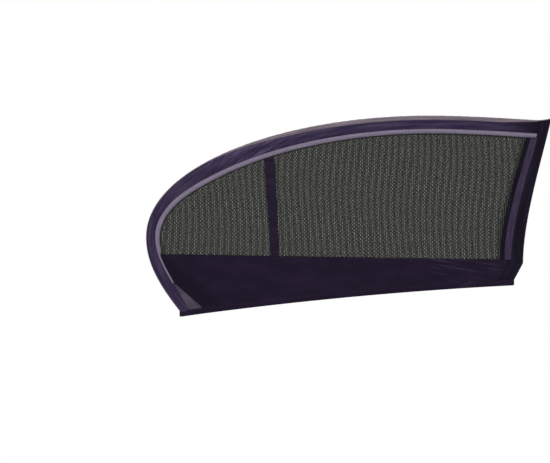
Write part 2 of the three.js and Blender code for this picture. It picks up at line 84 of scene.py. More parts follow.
class SHADE_PG_outline(bpy.types.PropertyGroup):
    nose_reach: length("Nose reach", "From the crown back to the rounded rear end", 0.712)
    nose_drop: length("Nose drop", "From the crown down to the rounded rear end", 0.306)
    tail_reach: length("Tail reach", "From the crown back to the lower rear end", 0.613)
    tail_drop: length("Tail drop", "From the crown down to the lower rear end", 0.510)
    neck_reach: length("Neck reach", "Forward to the dip before the front corner", 0.268)
    neck_drop: length("Neck drop", "Down to that dip", 0.0115)
    corner_reach: length("Corner reach", "Forward to the front corner's tip", 0.307)
    corner_drop: length("Corner drop", "Down to that tip", 0.007)
    knee_reach: length("Knee reach", "Forward to the foot of the front edge", 0.2355)
    knee_drop: length("Knee drop", "Down to the foot of the front edge", 0.372)
    belt_drop: length("Belt drop", "Down to the net's lower edge", 0.360)
    hem_tail_drop: length("Hem drop, rear", "Down to the hem's foot at its rear end", 0.504)
    hem_knee_drop: length("Hem drop, front", "Down to the hem's foot at its front end", 0.427)


class SHADE_PG_cloth(bpy.types.PropertyGroup):
    pocket: length("Pocket", "Thickness of the door frame that goes in", 0.030)
    cloth: length("Cloth", "Thickness of one cloth", 0.0012)
    seam_gap: length("Seam gap", "Space between sewn layers", 0.0003)
    net_pitch: length("Net pitch", "From one upright strand of the net to the next", 0.0050)
    net_row: length("Net row", "Height of one row of the net's holes", 0.0088)
    strand: length("Strand", "Width of a net strand", 0.0041)
    piping_height: length("Piping height", "How far the piping stands up", 0.0042)
    hem_height: length("Hem height", "Height of the folded hem", 0.015)
    flare: length("Flare", "How far the skirt stands off the door at the hem", 0.012)
    rear_flare: length("Rear flare", "The same on the weather side", 0.006)
    stitch: length("Stitch", "From one stitch to the next", 0.0045)


class SHADE_PG_colours(bpy.types.PropertyGroup):
    border: colour("Border", "Dark purple of the border cloth", "#2D2340")
    # The stretched colour is painted sheen, the paler streaks on the border cloth.
    border_sheen: colour("Border, stretched", "Where the border cloth is stretched pale", "#51455F")
    skirt: colour("Skirt", "Darker purple of the skirt", "#190F25")
    front: colour("Front edge", "Darkest purple, of the front edge", "#0D0718")
    # The edge roll's pale mauve is painted highlight along its rounded top edge.
    roll: colour("Edge roll", "Mauve of the brushed edge band", "#6A5E6A")
    piping: colour("Piping", "Grey of the piping", "#7C7287")
    trim: colour("Trim", "Purple of the stripe beside the net", "#352B42")
    gusset: colour("Gusset", "Grey-mauve of the corner gusset", "#4B4351")
    net: colour("Net", "Charcoal of the net's yarn", "#42433F")
    thread: colour("Thread", "Sewing thread", "#3A3148")


def settings():
    """The three groups of sizes and colours: outline, cloth and colours."""
    scene = bpy.context.scene
    return scene.shade_outline, scene.shade_cloth, scene.shade_colours


# Curves of the outline


def through(s, knots):
    """A value that eases from knot to knot: half a cosine wave between each two."""
    at, value = np.array(knots, float).T
    i = np.clip(np.searchsorted(at, s) - 1, 0, len(at) - 2)
    part = np.clip((s - at[i]) / (at[i + 1] - at[i]), 0, 1)
    return value[i] + (value[i + 1] - value[i]) * (0.5 - 0.5 * np.cos(np.pi * part))


def along(curves, step):
    """Even stations along cubic Bezier curves: x, z, the unit way in, the curve count s and length."""
    rows = []
    run = 0.0
    for index, corners in enumerate(curves):
        a, b, c, d = (np.array(p, float)[:, None] for p in corners)
        t = np.linspace(0, 1, 600)
        dense = a * (1 - t) ** 3 + 3 * b * t * (1 - t) ** 2 + 3 * c * t * t * (1 - t) + d * t**3
        far = np.append(0, np.cumsum(np.hypot(*np.diff(dense))))
        u = np.linspace(0, 1, max(2, int(round(far[-1] / step))) + 1)[(index > 0):]
        at = np.interp(u * far[-1], far, t)
        x, z = (np.interp(at, t, row) for row in dense)
        slope = 3 * ((b - a) * (1 - at) ** 2 + 2 * (c - b) * at * (1 - at) + (d - c) * at * at)
        slope = slope / np.hypot(*slope)
        rows.append(np.array([x, z, slope[1], -slope[0], index + u, run + u * far[-1]]))
        run += far[-1]
    return np.concatenate(rows, axis=1)


def arch_curves(o):
    """From the tail up round the nose, over the crown and out to the front corner."""
    neck = (o.neck_reach, -o.neck_drop)
    tip = (o.corner_reach, -o.corner_drop)
    dip = ((o.neck_reach + o.corner_reach) / 2, -o.neck_drop - 0.001)
    lift = [tuple((end[i] + 2 * dip[i]) / 3 for i in (0, 1)) for end in (neck, tip)]
    return [
        [(-o.tail_reach, -o.tail_drop), (-o.tail_reach - 0.066, -o.tail_drop + 0.080),
         (-o.nose_reach, -o.nose_drop - 0.066), (-o.nose_reach, -o.nose_drop)],
        [(-o.nose_reach, -o.nose_drop), (-o.nose_reach, -o.nose_drop + 0.176), (-0.378, 0), (0, 0)],
        [(0, 0), (o.neck_reach * 0.36, 0), (o.neck_reach * 0.7, -o.neck_drop * 0.55), neck],
        [neck, lift[0], lift[1], tip],
    ]


def front_curves(o):
    """From the front corner down to the knee, and on past the hem's front corner."""
    top = (o.corner_reach, -o.corner_drop)
    knee = (o.knee_reach, -o.knee_drop)
    tall = o.knee_drop - o.corner_drop
    past = (o.knee_reach - 0.042, -o.knee_drop - 0.078)
    high = (o.corner_reach - 0.023, top[1] - tall * 0.28)
    low = (o.knee_reach + 0.0005, top[1] - tall * 0.69)
    return [
        [top, high, low, knee],
        [knee, (knee[0] - 0.014, knee[1] - 0.026), (knee[0] - 0.028, knee[1] - 0.052), past],
    ]


def shape():
    """The stations and levels that every piece is worked out from. The way in from the front edge is
    averaged over 31 stations, so that lines deep inside the knee turn without crossing."""
    o = settings()[0]
    arch = along(arch_curves(o), 0.004)
    front = along(front_curves(o), 0.004)
    span = (-o.tail_reach, o.knee_reach - 0.028)

    def belt(x):
        return -o.belt_drop - 0.0158 * x + SEAT

    def hem_foot(x):
        u = (x - span[0]) / (span[1] - span[0])
        return -o.hem_tail_drop + (o.hem_tail_drop - o.hem_knee_drop) * u + 0.040 * u * (1 - u) + SEAT

    wide = 31
    turn = np.pad(np.arctan2(front[3], front[2]) % TURN, wide // 2, mode="edge")
    turn = np.convolve(turn, np.full(wide, 1 / wide), "valid")
    front[2:4] = np.cos(turn), np.sin(turn)
    for stations in (arch, front):
        stations[1] += SEAT
    return arch, front, belt, hem_foot


def border_width(s):
    """The arch border's width at the curve count s."""
    return through(s, [(0, 0.019), (0.5, 0.029), (1, 0.025), (1.35, 0.039), (2, 0.036), (4, 0.036)])


def piping_width(s):
    """The piping's width: it narrows to its tail end."""
    return through(s, [(0.74, 0.0045), (0.84, 0.0105), (1.1, 0.012), (2, 0.011)])


def roll_depth(s):
    """How far the edge roll comes over a wall: furthest along the crown."""
    return through(s, [(1.25, ROLL_EDGE), (1.65, 0.013), (2.6, 0.013), (3.2, ROLL_EDGE)])


def front_border_width(s):
    """The front edge border's width."""
    return through(s, [(0, 0.029), (1, 0.038)])


def window_inset(s):
    """From the arch in to the net."""
    return border_width(s) + piping_width(s)


def front_window_inset(s):
    """From the front edge in to the net."""
    return front_border_width(s) + BINDING


def offset(stations, inset):
    """The curve that lies inset inside the stations."""
    return stations[0] + stations[2] * inset, stations[1] + stations[3] * inset


# Meshes


def closed_mesh(name, points, faces, uv):
    """A mesh from point, face and UV arrays. A closed skin that comes out inside out is turned round."""
    corners = [np.asarray(f, np.int32) for f in faces if len(f)]
    volume = 0.0
    for f in corners:
        for k in range(1, f.shape[1] - 1):
            a, b, c = points[f[:, 0]], points[f[:, k]], points[f[:, k + 1]]
            volume += np.einsum("ij,ij->", a, np.cross(b, c))
    if volume < 0:
        corners = [f[:, ::-1] for f in corners]
    loops = np.concatenate([f.ravel() for f in corners])
    sizes = np.concatenate([np.full(len(f), f.shape[1]) for f in corners])
    mesh = bpy.data.meshes.new(name)
    mesh.vertices.add(len(points))
    mesh.vertices.foreach_set("co", np.asarray(points, np.float32).ravel())
    mesh.loops.add(len(loops))
    mesh.loops.foreach_set("vertex_index", loops.astype(np.int32))
    mesh.polygons.add(len(sizes))
    mesh.polygons.foreach_set("loop_start", np.append(0, np.cumsum(sizes)[:-1]).astype(np.int32))
    layer = mesh.uv_layers.new(name="cloth")
    layer.data.foreach_set("uv", np.asarray(uv, np.float32)[loops].ravel())
    mesh.update(calc_edges=True)
    mesh.polygons.foreach_set("use_smooth", np.ones(len(sizes), bool))
    return mesh


def placed(name, data):
    """An object in the scene that shows the data."""
    made = bpy.data.objects.new(name, data)
    bpy.context.scene.collection.objects.link(made)
    return made


def piece(name, points, faces, uv, material, nodes, slot):
    """A finished piece: its mesh, its material and the nodes that it stands for. slot is not used."""
    made = placed(name, closed_mesh(name, points, faces, uv))
    made.data.materials.append(material)
    if nodes:
        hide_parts(*nodes)
    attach(made, "root")
    return made


def grid_quads(rows, columns, wrap_rows=False, wrap_columns=False):
    """Four corners for each cell of a grid of points, closed on itself where it wraps."""
    i = np.arange(rows if wrap_rows else rows - 1)[:, None]
    j = np.arange(columns if wrap_columns else columns - 1)[None, :]
    i2, j2 = (i + 1) % rows, (j + 1) % columns
    quads = [i * columns + j, i2 * columns + j, i2 * columns + j2, i * columns + j2]
    return np.stack(quads, -1).reshape(-1, 4)


def slab(outer, inner, uv):
    """Two like grids of points, joined along their rims into one closed sheet."""
    rows, columns = outer.shape[:2]
    count = rows * columns
    face = grid_quads(rows, columns)
    number = np.arange(count).reshape(rows, columns)
    rim = np.concatenate([number[0, :-1], number[:-1, -1], number[-1, :0:-1], number[:0:-1, 0]])
    after = np.roll(rim, -1)
    sides = np.stack([rim, after, after + count, rim + count], -1)
    points = np.concatenate([outer.reshape(-1, 3), inner.reshape(-1, 3)])
    both = np.concatenate([uv.reshape(-1, 2)] * 2)
    return points, [face, face[:, ::-1] + count, sides[:, ::-1]], both


def two_faces(x, z, side, away, thick):
    """A cloth's outer and inner face as grids of points: y = side x (away + thick) and side x away."""
    return [np.stack(np.broadcast_arrays(x, side * y, z), -1) for y in (away + thick, away)]


def tube(rings, uv, loop=False):
    """Rings of points joined into a closed skin, with a fan over each end unless it closes on itself."""
    rows, columns = rings.shape[:2]
    faces = [grid_quads(rows, columns, wrap_rows=loop, wrap_columns=True)]
    points, flat = rings.reshape(-1, 3), uv.reshape(-1, 2)
    if not loop:
        number = np.arange(columns)
        after = (number + 1) % columns
        last = (rows - 1) * columns
        middle = rows * columns
        points = np.concatenate([points, [rings[0].mean(0)], [rings[-1].mean(0)]])
        flat = np.concatenate([flat, [uv[0, 0]], [uv[-1, 0]]])
        faces.append(np.stack([after, np.full(columns, middle), number], -1)[:, ::-1])
        faces.append(np.stack([after + last, np.full(columns, middle + 1), number + last], -1))
    return points, faces, flat


def trimmed(stations, inset, keep):
    """The lines at those insets along the stations, each cut where keep(x, z) turns negative and laid
    out again with even rows: x, z, length along and inset."""
    x = stations[0][:, None] + stations[2][:, None] * inset
    z = stations[1][:, None] + stations[3][:, None] * inset
    run = np.broadcast_to(stations[5][:, None], inset.shape)
    level = keep(x, z)
    rows = np.arange(len(x))
    made = []
    for j in range(inset.shape[1]):
        inside = np.flatnonzero(level[:, j] > 0)
        a, b = float(inside[0]), float(inside[-1])
        if a > 0:
            g = level[int(a) - 1 : int(a) + 1, j]
            a -= g[1] / (g[1] - g[0])
        if b < len(x) - 1:
            g = level[int(b) : int(b) + 2, j]
            b += g[0] / (g[0] - g[1])
        at = np.linspace(a, b, len(x))
        made.append([np.interp(at, rows, line[:, j]) for line in (x, z, run, inset)])
    return np.array(made).transpose(1, 2, 0)


def strip(stations, start, end, columns, side, layer, lift, thick, keep):
    """A sheet along the stations, from inset start to inset end. Its inner face lies layer from the
    pocket's middle plus lift(length, share of the width)."""
    share = np.linspace(0, 1, columns)[None, :]
    inset = start[:, None] + (end - start)[:, None] * share
    x, z, run, inset = trimmed(stations, inset, keep)
    rise = lift(run, np.broadcast_to(share, inset.shape))
    return *two_faces(x, z, side, layer + rise, thick), np.stack([run, inset], -1)


def resample(x, z, count):
    """Even points along a line."""
    far = np.append(0, np.cumsum(np.hypot(np.diff(x), np.diff(z))))
    at = np.linspace(0, far[-1], count)
    return np.stack([np.interp(at, far, x), np.interp(at, far, z)], -1)


def patch(top, bottom, left, right):
    """The blended surface between four edges: both pairs ruled, less the one from the corners."""
    u = np.linspace(0, 1, len(top))[:, None, None]
    v = np.linspace(0, 1, len(left))[None, :, None]
    across = (1 - v) * top[:, None] + v * bottom[:, None]
    down = (1 - u) * left[None] + u * right[None]
    corners = (1 - v) * ((1 - u) * top[0] + u * top[-1]) + v * ((1 - u) * bottom[0] + u * bottom[-1])
    return across + down - corners


# Cloth pieces


def layers():
    """How far the net, the cloth over it and the trim on that lie from the pocket's middle."""
    c = settings()[1]
    net = c.pocket / 2
    step = c.cloth + c.seam_gap
    return net, net + step, net + 2 * step


def fold(run, share, at, slant, width, height):
    """A ridge across a strip: a bell curve of the distance from a slanting line."""
    away = (run - at - slant * (share - 0.5)) / width
    return height * np.exp(-away * away) * np.sin(np.pi * np.clip(share, 0, 1)) ** 0.7


def strip_piece(name, sheet, material, nodes, slot):
    """A strip along the edge."""
    outer, inner, uv = sheet
    made = piece(name, *slab(outer, inner, uv), material, nodes, slot)
    run = float(np.ptp(uv[:, 0, 0]))


def above_hem():
    """What shape() gives, and how far back and forward the hem's top reaches."""
    c = settings()[1]
    arch, front, belt, hem_foot = shape()
    ends = []
    for x, z in (arch[:2], front[:2]):
        gap = z - hem_foot(x) - c.hem_height
        i = int(np.argmax(gap[1:] * gap[:-1] <= 0))
        ends.append(float(x[i] + (x[i + 1] - x[i]) * gap[i] / (gap[i] - gap[i + 1])))
    return arch, front, belt, hem_foot, *ends


def gusset_top():
    """The level of the gusset's top."""
    return -settings()[0].tail_drop + APEX_RISE + SEAT


def gusset_foot():
    """How far back the gusset's foot is."""
    return -settings()[0].tail_reach + FOOT_REACH


def both(*levels):
    """The least of some signed distances, which is positive only where all of them are."""
    return lambda x, z: np.minimum.reduce([level(x, z) for level in levels])


def limits():
    """Signed distances that cut the strips: over the hem, behind a line along the front edge, under a
    line along the arch, and on each side of the mitre at the front corner."""
    c = settings()[1]
    arch, front, _, hem_foot = shape()
    gap = c.seam_gap

    def over_hem(x, z):
        return z - hem_foot(x) - c.hem_height + TUCK

    def behind(inset):
        fx, fz = offset(front, inset(front[4]) + gap)
        return lambda x, z: np.interp(-z, -fz, fx) - x

    def under(inset):
        ax, az = offset(arch, inset(arch[4]) + gap)
        body = arch[4] > 1.2
        return lambda x, z: np.interp(x, ax[body], az[body]) - z

    tip = arch[:2, -1]
    way = arch[2:4, -1] + front[2:4, 0]
    way = way / np.hypot(*way)

    def arch_side(x, z):
        return way[1] * (x - tip[0]) - way[0] * (z - tip[1])

    def front_side(x, z):
        return -arch_side(x, z)

    return over_hem, behind, under, arch_side, front_side


def net(name, node, side, pitch, row, material):
    """Upright strands that lean together and apart by turns, so that six-sided holes open between
    them: x = strand's place + sway x (+, +, -, -), the other way on every second strand. A slow sine
    in x and z gives the knit its waves."""
    c = settings()[1]
    layer = layers()[0]
    low_at, top_at, rear, fore = net_window(NET_LAP)
    x = np.arange(rear + pitch / 2, fore, pitch)
    low, top = low_at(x), top_at(x)
    k = np.arange(int(low.min() / row * 4) - 1, 2)
    z = k * row / 4
    sway = (pitch - c.strand) / 2 + 0.00005
    lean = np.array([1, 1, -1, -1])[k % 4] * sway
    turn = np.where(np.arange(len(x)) % 2, -1, 1)
    zz = np.broadcast_to(z[None], (len(x), len(z)))
    xx = x[:, None] + turn[:, None] * lean[None]
    zz = zz + 0.0022 * np.sin(xx / 0.085) + 0.0012 * np.sin(xx / 0.031 + zz / 0.2)
    xx = xx + 0.0010 * np.sin(zz / 0.055 + xx / 0.2)
    inside = (z[None] >= low[:, None]) & (z[None] <= top[:, None])
    half, thick, middle = c.strand / 2, c.cloth / 2, side * (layer + c.cloth / 2)
    section = [(-half, 0), (0, -thick), (half, 0), (0, thick)]
    points = np.stack([np.stack([xx + dx, np.full_like(xx, middle + dy), zz], -1) for dx, dy in section], 2)
    rows = len(z)
    number = (np.arange(len(x))[:, None] * rows + np.arange(rows)[None]) * 4
    here = number[:, :-1][inside[:, :-1] & inside[:, 1:]]
    sides = ((0, 1), (1, 2), (2, 3), (3, 0))
    faces = [np.stack([here + a, here + b, here + 4 + b, here + 4 + a], -1) for a, b in sides]
    padded = np.pad(inside, ((0, 0), (1, 1)))
    first = number[inside & ~padded[:, :-2] & padded[:, 2:]]
    last = number[inside & ~padded[:, 2:] & padded[:, :-2]]
    faces.append(np.stack([first + 3, first + 2, first + 1, first], -1))
    faces.append(np.stack([last, last + 1, last + 2, last + 3], -1))
    faces = np.concatenate(faces)
    used, faces = np.unique(faces, return_inverse=True)
    points = points.reshape(-1, 3)[used]
    made = piece(name, points, [faces.reshape(-1, 4)], points[:, [0, 2]], material, [node], "net_cloth")
    width, height = np.ptp(points[:, 0]), np.ptp(points[:, 2])


def net_window(lap):
    """The net's outline: its lower and upper level at any x, and its ends."""
    arch, front, belt, _ = shape()
    ax, az = offset(arch, window_inset(arch[4]) - lap)
    fx, fz = offset(front, front_window_inset(front[4]) - lap)
    nose = int(np.argmin(ax))
    held = fz > belt(fx) - lap
    fx, fz = fx[held], fz[held]

    def low(x):
        rear = np.interp(x, ax[nose::-1], az[nose::-1], right=-9)
        return np.maximum(np.maximum(belt(x) - lap, rear), np.interp(x, fx[::-1], fz[::-1], left=-9))

    def top(x):
        return np.interp(x, ax[nose:], az[nose:])

    return low, top, ax[nose], fx[0]


def bars(start, end, wide, deep):
    """Straight four-sided bars between two lists of points, wide and deep, closed at their ends."""
    way = end - start
    way = way / np.linalg.norm(way, axis=1, keepdims=True)
    aside = np.stack([-way[:, 2], way[:, 1], way[:, 0]], -1)
    out = np.array([0, 1.0, 0])
    ring = [aside * wide / 2, out * deep / 2, -aside * wide / 2, -out * deep / 2]
    points = np.stack([place + step for place in (start, end) for step in ring], 1)
    base = 8 * np.arange(len(start))[:, None]
    sides = [base + np.array([[k, (k + 1) % 4, 4 + (k + 1) % 4, 4 + k]]) for k in range(4)]
    ends = [base + np.array([[3, 2, 1, 0]]), base + np.array([[4, 5, 6, 7]])]
    return points.reshape(-1, 3), np.concatenate(sides + ends)


def plain_net(name, node, side, material):
    """A finer plain net: upright bars one pitch apart from the lower level to the upper one, and level
    bars across them, each as long as the outline is wide there. Its real pitch of about 1 mm is drawn
    at 2.2 mm, so that it shows at all."""
    c = settings()[1]
    low, top, rear, fore = net_window(NET_LAP)
    pitch, strand = 0.0022, 0.0015
    x = np.arange(rear + pitch, fore - pitch / 2, pitch)
    x = x[top(x) - low(x) > 0.002]
    middle = side * (layers()[0] + c.cloth / 2)
    y = np.full_like(x, middle)
    uprights = bars(np.stack([x, y, low(x)], -1), np.stack([x, y, top(x)], -1), strand, c.cloth * 0.6)
    dense = np.linspace(rear, fore, 1500)
    z = np.arange(low(dense).min() + pitch, top(dense).max(), pitch * 1.09)
    inside = (low(dense)[None] < z[:, None]) & (top(dense)[None] > z[:, None])
    first, last = dense[inside.argmax(1)], dense[len(dense) - 1 - inside[:, ::-1].argmax(1)]
    y = np.full_like(z, middle)
    levels = bars(np.stack([first, y, z], -1), np.stack([last, y, z], -1), strand, c.cloth * 0.5)
    points = np.concatenate([uprights[0], levels[0]])
    faces = np.concatenate([uprights[1], levels[1] + len(uprights[0])])
    made = piece(name, points, [faces], points[:, [0, 2]], material, [node], "net_cloth")
    area = float(((top(dense) - low(dense)).clip(0)).mean() * (fore - rear))


def edge_roll(name, node, stations, depth, material, slot, ripple, keep):
    """A half ellipse over the frame, with a flange down each side. Ripples gather it along its length:
    a fast and a slow sine, strongest at the top of the roll."""
    c = settings()[1]
    half = c.pocket / 2
    turn = np.pad(np.linspace(-np.pi / 2, np.pi / 2, 25), 1, mode="edge")[None, :]
    reach = np.zeros_like(turn)
    reach[0, [0, -1]] = NET_LAP
    d = depth(stations[4])[:, None]

    def wall(level):
        inset = level + (d - level) * (1 - np.cos(turn)) + reach
        x, z, run, inset = trimmed(stations, inset, keep)
        swell = np.sin(TURN * run / 0.021 + 2 * turn) + 0.7 * np.sin(TURN * run / 0.054 - turn)
        proud = (ripple if level == 0 else 0) * np.cos(turn) ** 2 * swell
        y = (half + c.cloth - level + proud * np.abs(np.sin(turn))) * np.sin(turn)
        return np.stack([x, y, z + proud * np.cos(turn)], -1), run

    outer, run = wall(0.0)
    inner, _ = wall(c.cloth)
    girth = np.broadcast_to(np.linspace(0, 0.058, outer.shape[1])[None, :], run.shape)
    strip_piece(name, (outer, inner, np.stack([run, girth], -1)), material, [node], slot)


# Where each fold of the arch border crosses it along the arch, its slant, half width and height
ARCH_FOLDS = (
    (0.44, 0.05, 0.014, 0.0022), (0.50, -0.07, 0.013, 0.0045), (0.54, -0.08, 0.011, 0.0052),
    (0.58, -0.10, 0.012, 0.0060), (0.62, -0.09, 0.011, 0.0050), (0.67, -0.08, 0.014, 0.0036),
    (0.72, -0.09, 0.012, 0.0024), (0.80, -0.06, 0.014, 0.0016), (0.90, -0.05, 0.018, 0.0013),
    (1.05, 0.05, 0.020, 0.0013), (1.18, 0.06, 0.016, 0.0014), (1.27, 0.05, 0.012, 0.0022),
    (1.32, 0.04, 0.010, 0.0028),
)


def border_lift(run, share):
    """The border swells over the frame in half a sine wave, flat where the piping covers it, and
    slanting folds and a long slow ripple run over it."""
    body = np.clip(share / 0.86, 0, 1)
    rise = 0.0017 * np.sin(np.pi * body) ** 0.9
    for at, slant, width, height in ARCH_FOLDS:
        rise = rise + fold(run, body, at, slant, width, height)
    return rise + 0.0004 * np.sin(np.pi * body) * np.sin(TURN * (run / 0.13 + 0.8 * share))


def pleat_lift(run, share):
    """Two lengthwise folds: a bell curve of the place across, each wandering slowly along its length."""
    drift = 0.03 * np.sin(run / 0.06)
    rise = 0.0020 * np.exp(-((share - 0.16 - drift) / 0.07) ** 2)
    rise = rise + 0.0017 * np.exp(-((share - 0.62 + drift) / 0.08) ** 2)
    gather = 0.0014 * np.exp(-run / 0.04) * np.sin(TURN * share * 3)
    return (rise + gather + 0.0001) * np.clip((0.86 - share) / 0.04, 0, 1)


def crown_lift(run, share):
    """A low crown over the whole width."""
    return 0.0010 * np.sin(np.pi * share) ** 0.8


def flat_lift(run, share):
    """No rise at all."""
    return np.zeros_like(run)


def piping(material):
    """A half round rim: height x sine of the way across, squared off a little at its sides, over a
    straight foot."""
    c = settings()[1]
    arch = shape()[0]
    start, end = border_width(arch[4]), window_inset(arch[4])
    share = np.linspace(0, 1, 15)
    across = np.concatenate([share, share[::-1]])
    inset = start[:, None] + (end - start)[:, None] * across[None]
    behind = limits()[1](front_border_width)
    x, z, run, inset = trimmed(arch, inset, both(lambda x, z: z - gusset_top(), behind))
    width = (inset[:, 14] - inset[:, 0])[:, None]
    height = 0.0004 + c.piping_height * np.sin(np.pi * share) ** 0.75 * np.clip(width / 0.0105, 0.35, 1)
    y = -(layers()[2] + np.concatenate([height, np.zeros_like(height)], 1))
    rings = np.stack([x, y, z], -1)
    uv = np.stack([run, inset], -1)
    made = piece("window_piping_cloth", *tube(rings, uv), material, ["window_piping"], "piping_cloth")


def skirt_edges(side):
    """The skirt's four edges as points: the belt, the hem, the rear and the front."""
    arch, front, belt, hem_foot, _, front_x = above_hem()
    c = settings()[1]
    cabin = side < 0

    def hem_top(x):
        return hem_foot(x) + c.hem_height - TUCK

    ax, az = offset(arch, border_width(arch[4]) + 0.0043 if cabin else window_inset(arch[4]) + NEAR)
    fx, fz = offset(front, (front_border_width if cabin else front_window_inset)(front[4]) + NEAR)
    low = arch[4] < 1
    rear_top = np.interp(0, (az - belt(ax))[low], ax[low])
    front_top = np.interp(0, (fz - belt(fx))[::-1], fx[::-1])
    foot = gusset_foot() if cabin else float(np.interp(0, (az - hem_top(ax))[low], ax[low]))
    end = float(np.interp(0, (fz - hem_top(fx))[::-1], fx[::-1]))
    keep = low & (az > (gusset_top() if cabin else hem_top(ax))) & (az < belt(rear_top))
    left_x = np.concatenate([[rear_top], ax[keep][::-1], [foot]])
    left_z = np.concatenate([[belt(rear_top)], az[keep][::-1], [hem_top(foot)]])
    keep = (fz < belt(front_top)) & (fz > hem_top(end))
    right_x = np.concatenate([[front_top], fx[keep], [end]])
    right_z = np.concatenate([[belt(front_top)], fz[keep], [hem_top(end)]])
    rows, columns = 40, 260
    top_x = np.linspace(rear_top, front_top, columns)
    foot_x = np.linspace(foot, end, columns)
    top = np.stack([top_x, belt(top_x)], -1)
    bottom = np.stack([foot_x, hem_top(foot_x)], -1)
    return top, bottom, resample(left_x, left_z, rows), resample(right_x, right_z, rows), front_x


def flare(x, share, amount, front_x):
    """The skirt's stand-off: a parabola along X that grows with the square of the way down."""
    foot = gusset_foot()
    u = np.clip((x - foot) / (front_x - foot), 0, 1)
    return amount * 4 * u * (1 - u) * share * share


def skirt_folds(x, share, u, front_x):
    """Folds that fan out of the front corner, a soft one beside the gusset and slow waves between:
    a cosine of the way down that opens out towards the rear, and bell curves of the distance."""
    away = (front_x - x) / (front_x + 0.565)
    spread = np.cos(np.pi * 7 * share * np.clip(0.35 + away, 0, 1))
    fan = 0.0016 * np.exp(-3.6 * np.clip(away, 0, None)) * (0.5 + 0.5 * spread)
    beside = 0.0085 * np.exp(-(((u - 0.036 - 0.030 * share) / 0.017) ** 2)) * np.sin(np.pi * share) ** 0.5
    slow = 0.0006 * np.sin(TURN * (x / 0.23 + 0.5 * share)) * np.sin(np.pi * share)
    tight = 0.0005 * np.sin(TURN * (x / 0.047 + 0.9 * share)) * share**3
    return fan + beside + slow + tight + 0.0006


def skirt(name, node, side, amount, material):
    """The cloth below the net: a patch between its four edges, lifted by its flare and folds."""
    top, bottom, left, right, front_x = skirt_edges(side)
    flat = patch(top, bottom, left, right)
    u = np.linspace(0, 1, len(top))[:, None]
    share = np.broadcast_to(np.linspace(0, 1, len(left)), flat.shape[:2])
    x, z = flat[..., 0], flat[..., 1]
    rise = flare(x, share, amount, front_x)
    if side < 0:
        rise = rise + skirt_folds(x, share, u, front_x) * np.clip(share * 12, 0, 1)
    faces = two_faces(x, z, side, layers()[1] + rise, settings()[1].cloth)
    made = piece(name, *slab(*faces, flat), material, [node], "skirt_cloth")


def gusset(material):
    """A wedge ruled between the border's edge and the skirt's rear edge."""
    c = settings()[1]
    arch, _, _, hem_foot, _, _ = above_hem()
    apex, foot = gusset_top(), gusset_foot()
    ax, az = offset(arch, border_width(arch[4]) - 0.006)
    level = hem_foot(foot) + c.hem_height - TUCK
    keep = (arch[4] < 0.7) & (az < apex + 0.006) & (az > hem_foot(ax) + c.hem_height - TUCK)
    left = resample(ax[keep][::-1], az[keep][::-1], 30)
    right = resample(np.array([left[0, 0] + 0.019, foot + 0.008]), np.array([left[0, 1], level]), 30)
    u = np.linspace(0, 1, 16)[:, None, None]
    flat = (1 - u) * left[None] + u * right[None]
    faces = two_faces(flat[..., 0], flat[..., 1], -1, layers()[0], c.cloth)
    made = piece("corner_gusset_cloth", *slab(*faces, flat), material, ["corner_gusset"], "gusset_cloth")


def seam_tape(name, stations, inset, side, keep, material):
    """The seam allowance folded inside where two cloths meet: a narrow strip in the net's layer, with
    the seam along its middle."""
    ends = (inset - HALF_TAPE, inset + HALF_TAPE)
    sheet = strip(stations, *ends, 6, side, layers()[0], flat_lift, settings()[1].cloth, keep)
    strip_piece(name, sheet, material, [], "skirt_cloth")


def strap_rows(v, share, margin, gap):
    """Points v of the way down the strap and share of the way across what a margin leaves of its
    width: x, z. Its foot stops a gap short of the belt line."""
    arch, _, belt, _ = shape()
    middle, width = (np.interp(v, (0, 1), ends) for ends in zip(STRAP_TOP, STRAP_FOOT))
    x = middle + (width - 2 * margin) * (share - 0.5)
    ax, az = offset(arch, border_width(arch[4]) + 0.0045)
    body = arch[4] > 1
    high = np.interp(x, ax[body], az[body])
    return x, high + (belt(x) + gap - high) * v


def strap(material):
    """The strap across the net: a flat tape, a little crowned, that narrows to its foot."""
    v = np.linspace(0, 1, 60)[:, None]
    share = np.linspace(0, 1, 13)[None, :]
    x, z = strap_rows(v, share, 0, NEAR)
    crown = 0.0006 * np.sin(np.pi * share) * np.sin(np.pi * np.clip(v * 1.1, 0, 1)) ** 0.3
    faces = two_faces(x, z, -1, layers()[1], settings()[1].cloth + crown)
    uv = np.stack([z, x], -1)
    made = piece("divider_strap_cloth", *slab(*faces, uv), material, ["divider_strap"], "border_cloth")
    float(np.ptp(z))


def mouth_plan(rear_x, front_x):
    """Points round the mouth seen from above, half an ellipse at each end, and the unit way out."""
    c = settings()[1]
    half = layers()[1] + c.cloth / 2
    turn = 0.008
    start, end = rear_x + 0.002 + turn, front_x - 0.002 - turn
    x = np.linspace(end, start, MOUTH_STEPS)
    bend = np.linspace(0, np.pi, BEND_STEPS + 2)[1:-1]
    cabin = np.stack([x, -(half + flare(x, 1.0, c.flare, front_x))])
    back = np.stack([x[::-1], half + flare(x[::-1], 1.0, c.rear_flare, front_x)])
    rear = np.stack([start - turn * np.sin(bend), -half * np.cos(bend)])
    fore = np.stack([end + turn * np.sin(bend), half * np.cos(bend)])
    plan = np.concatenate([cabin, rear, back, fore], 1)
    ahead = np.roll(plan, -1, 1) - np.roll(plan, 1, 1)
    ahead = ahead / np.hypot(*ahead)
    return plan, np.stack([ahead[1], -ahead[0]])


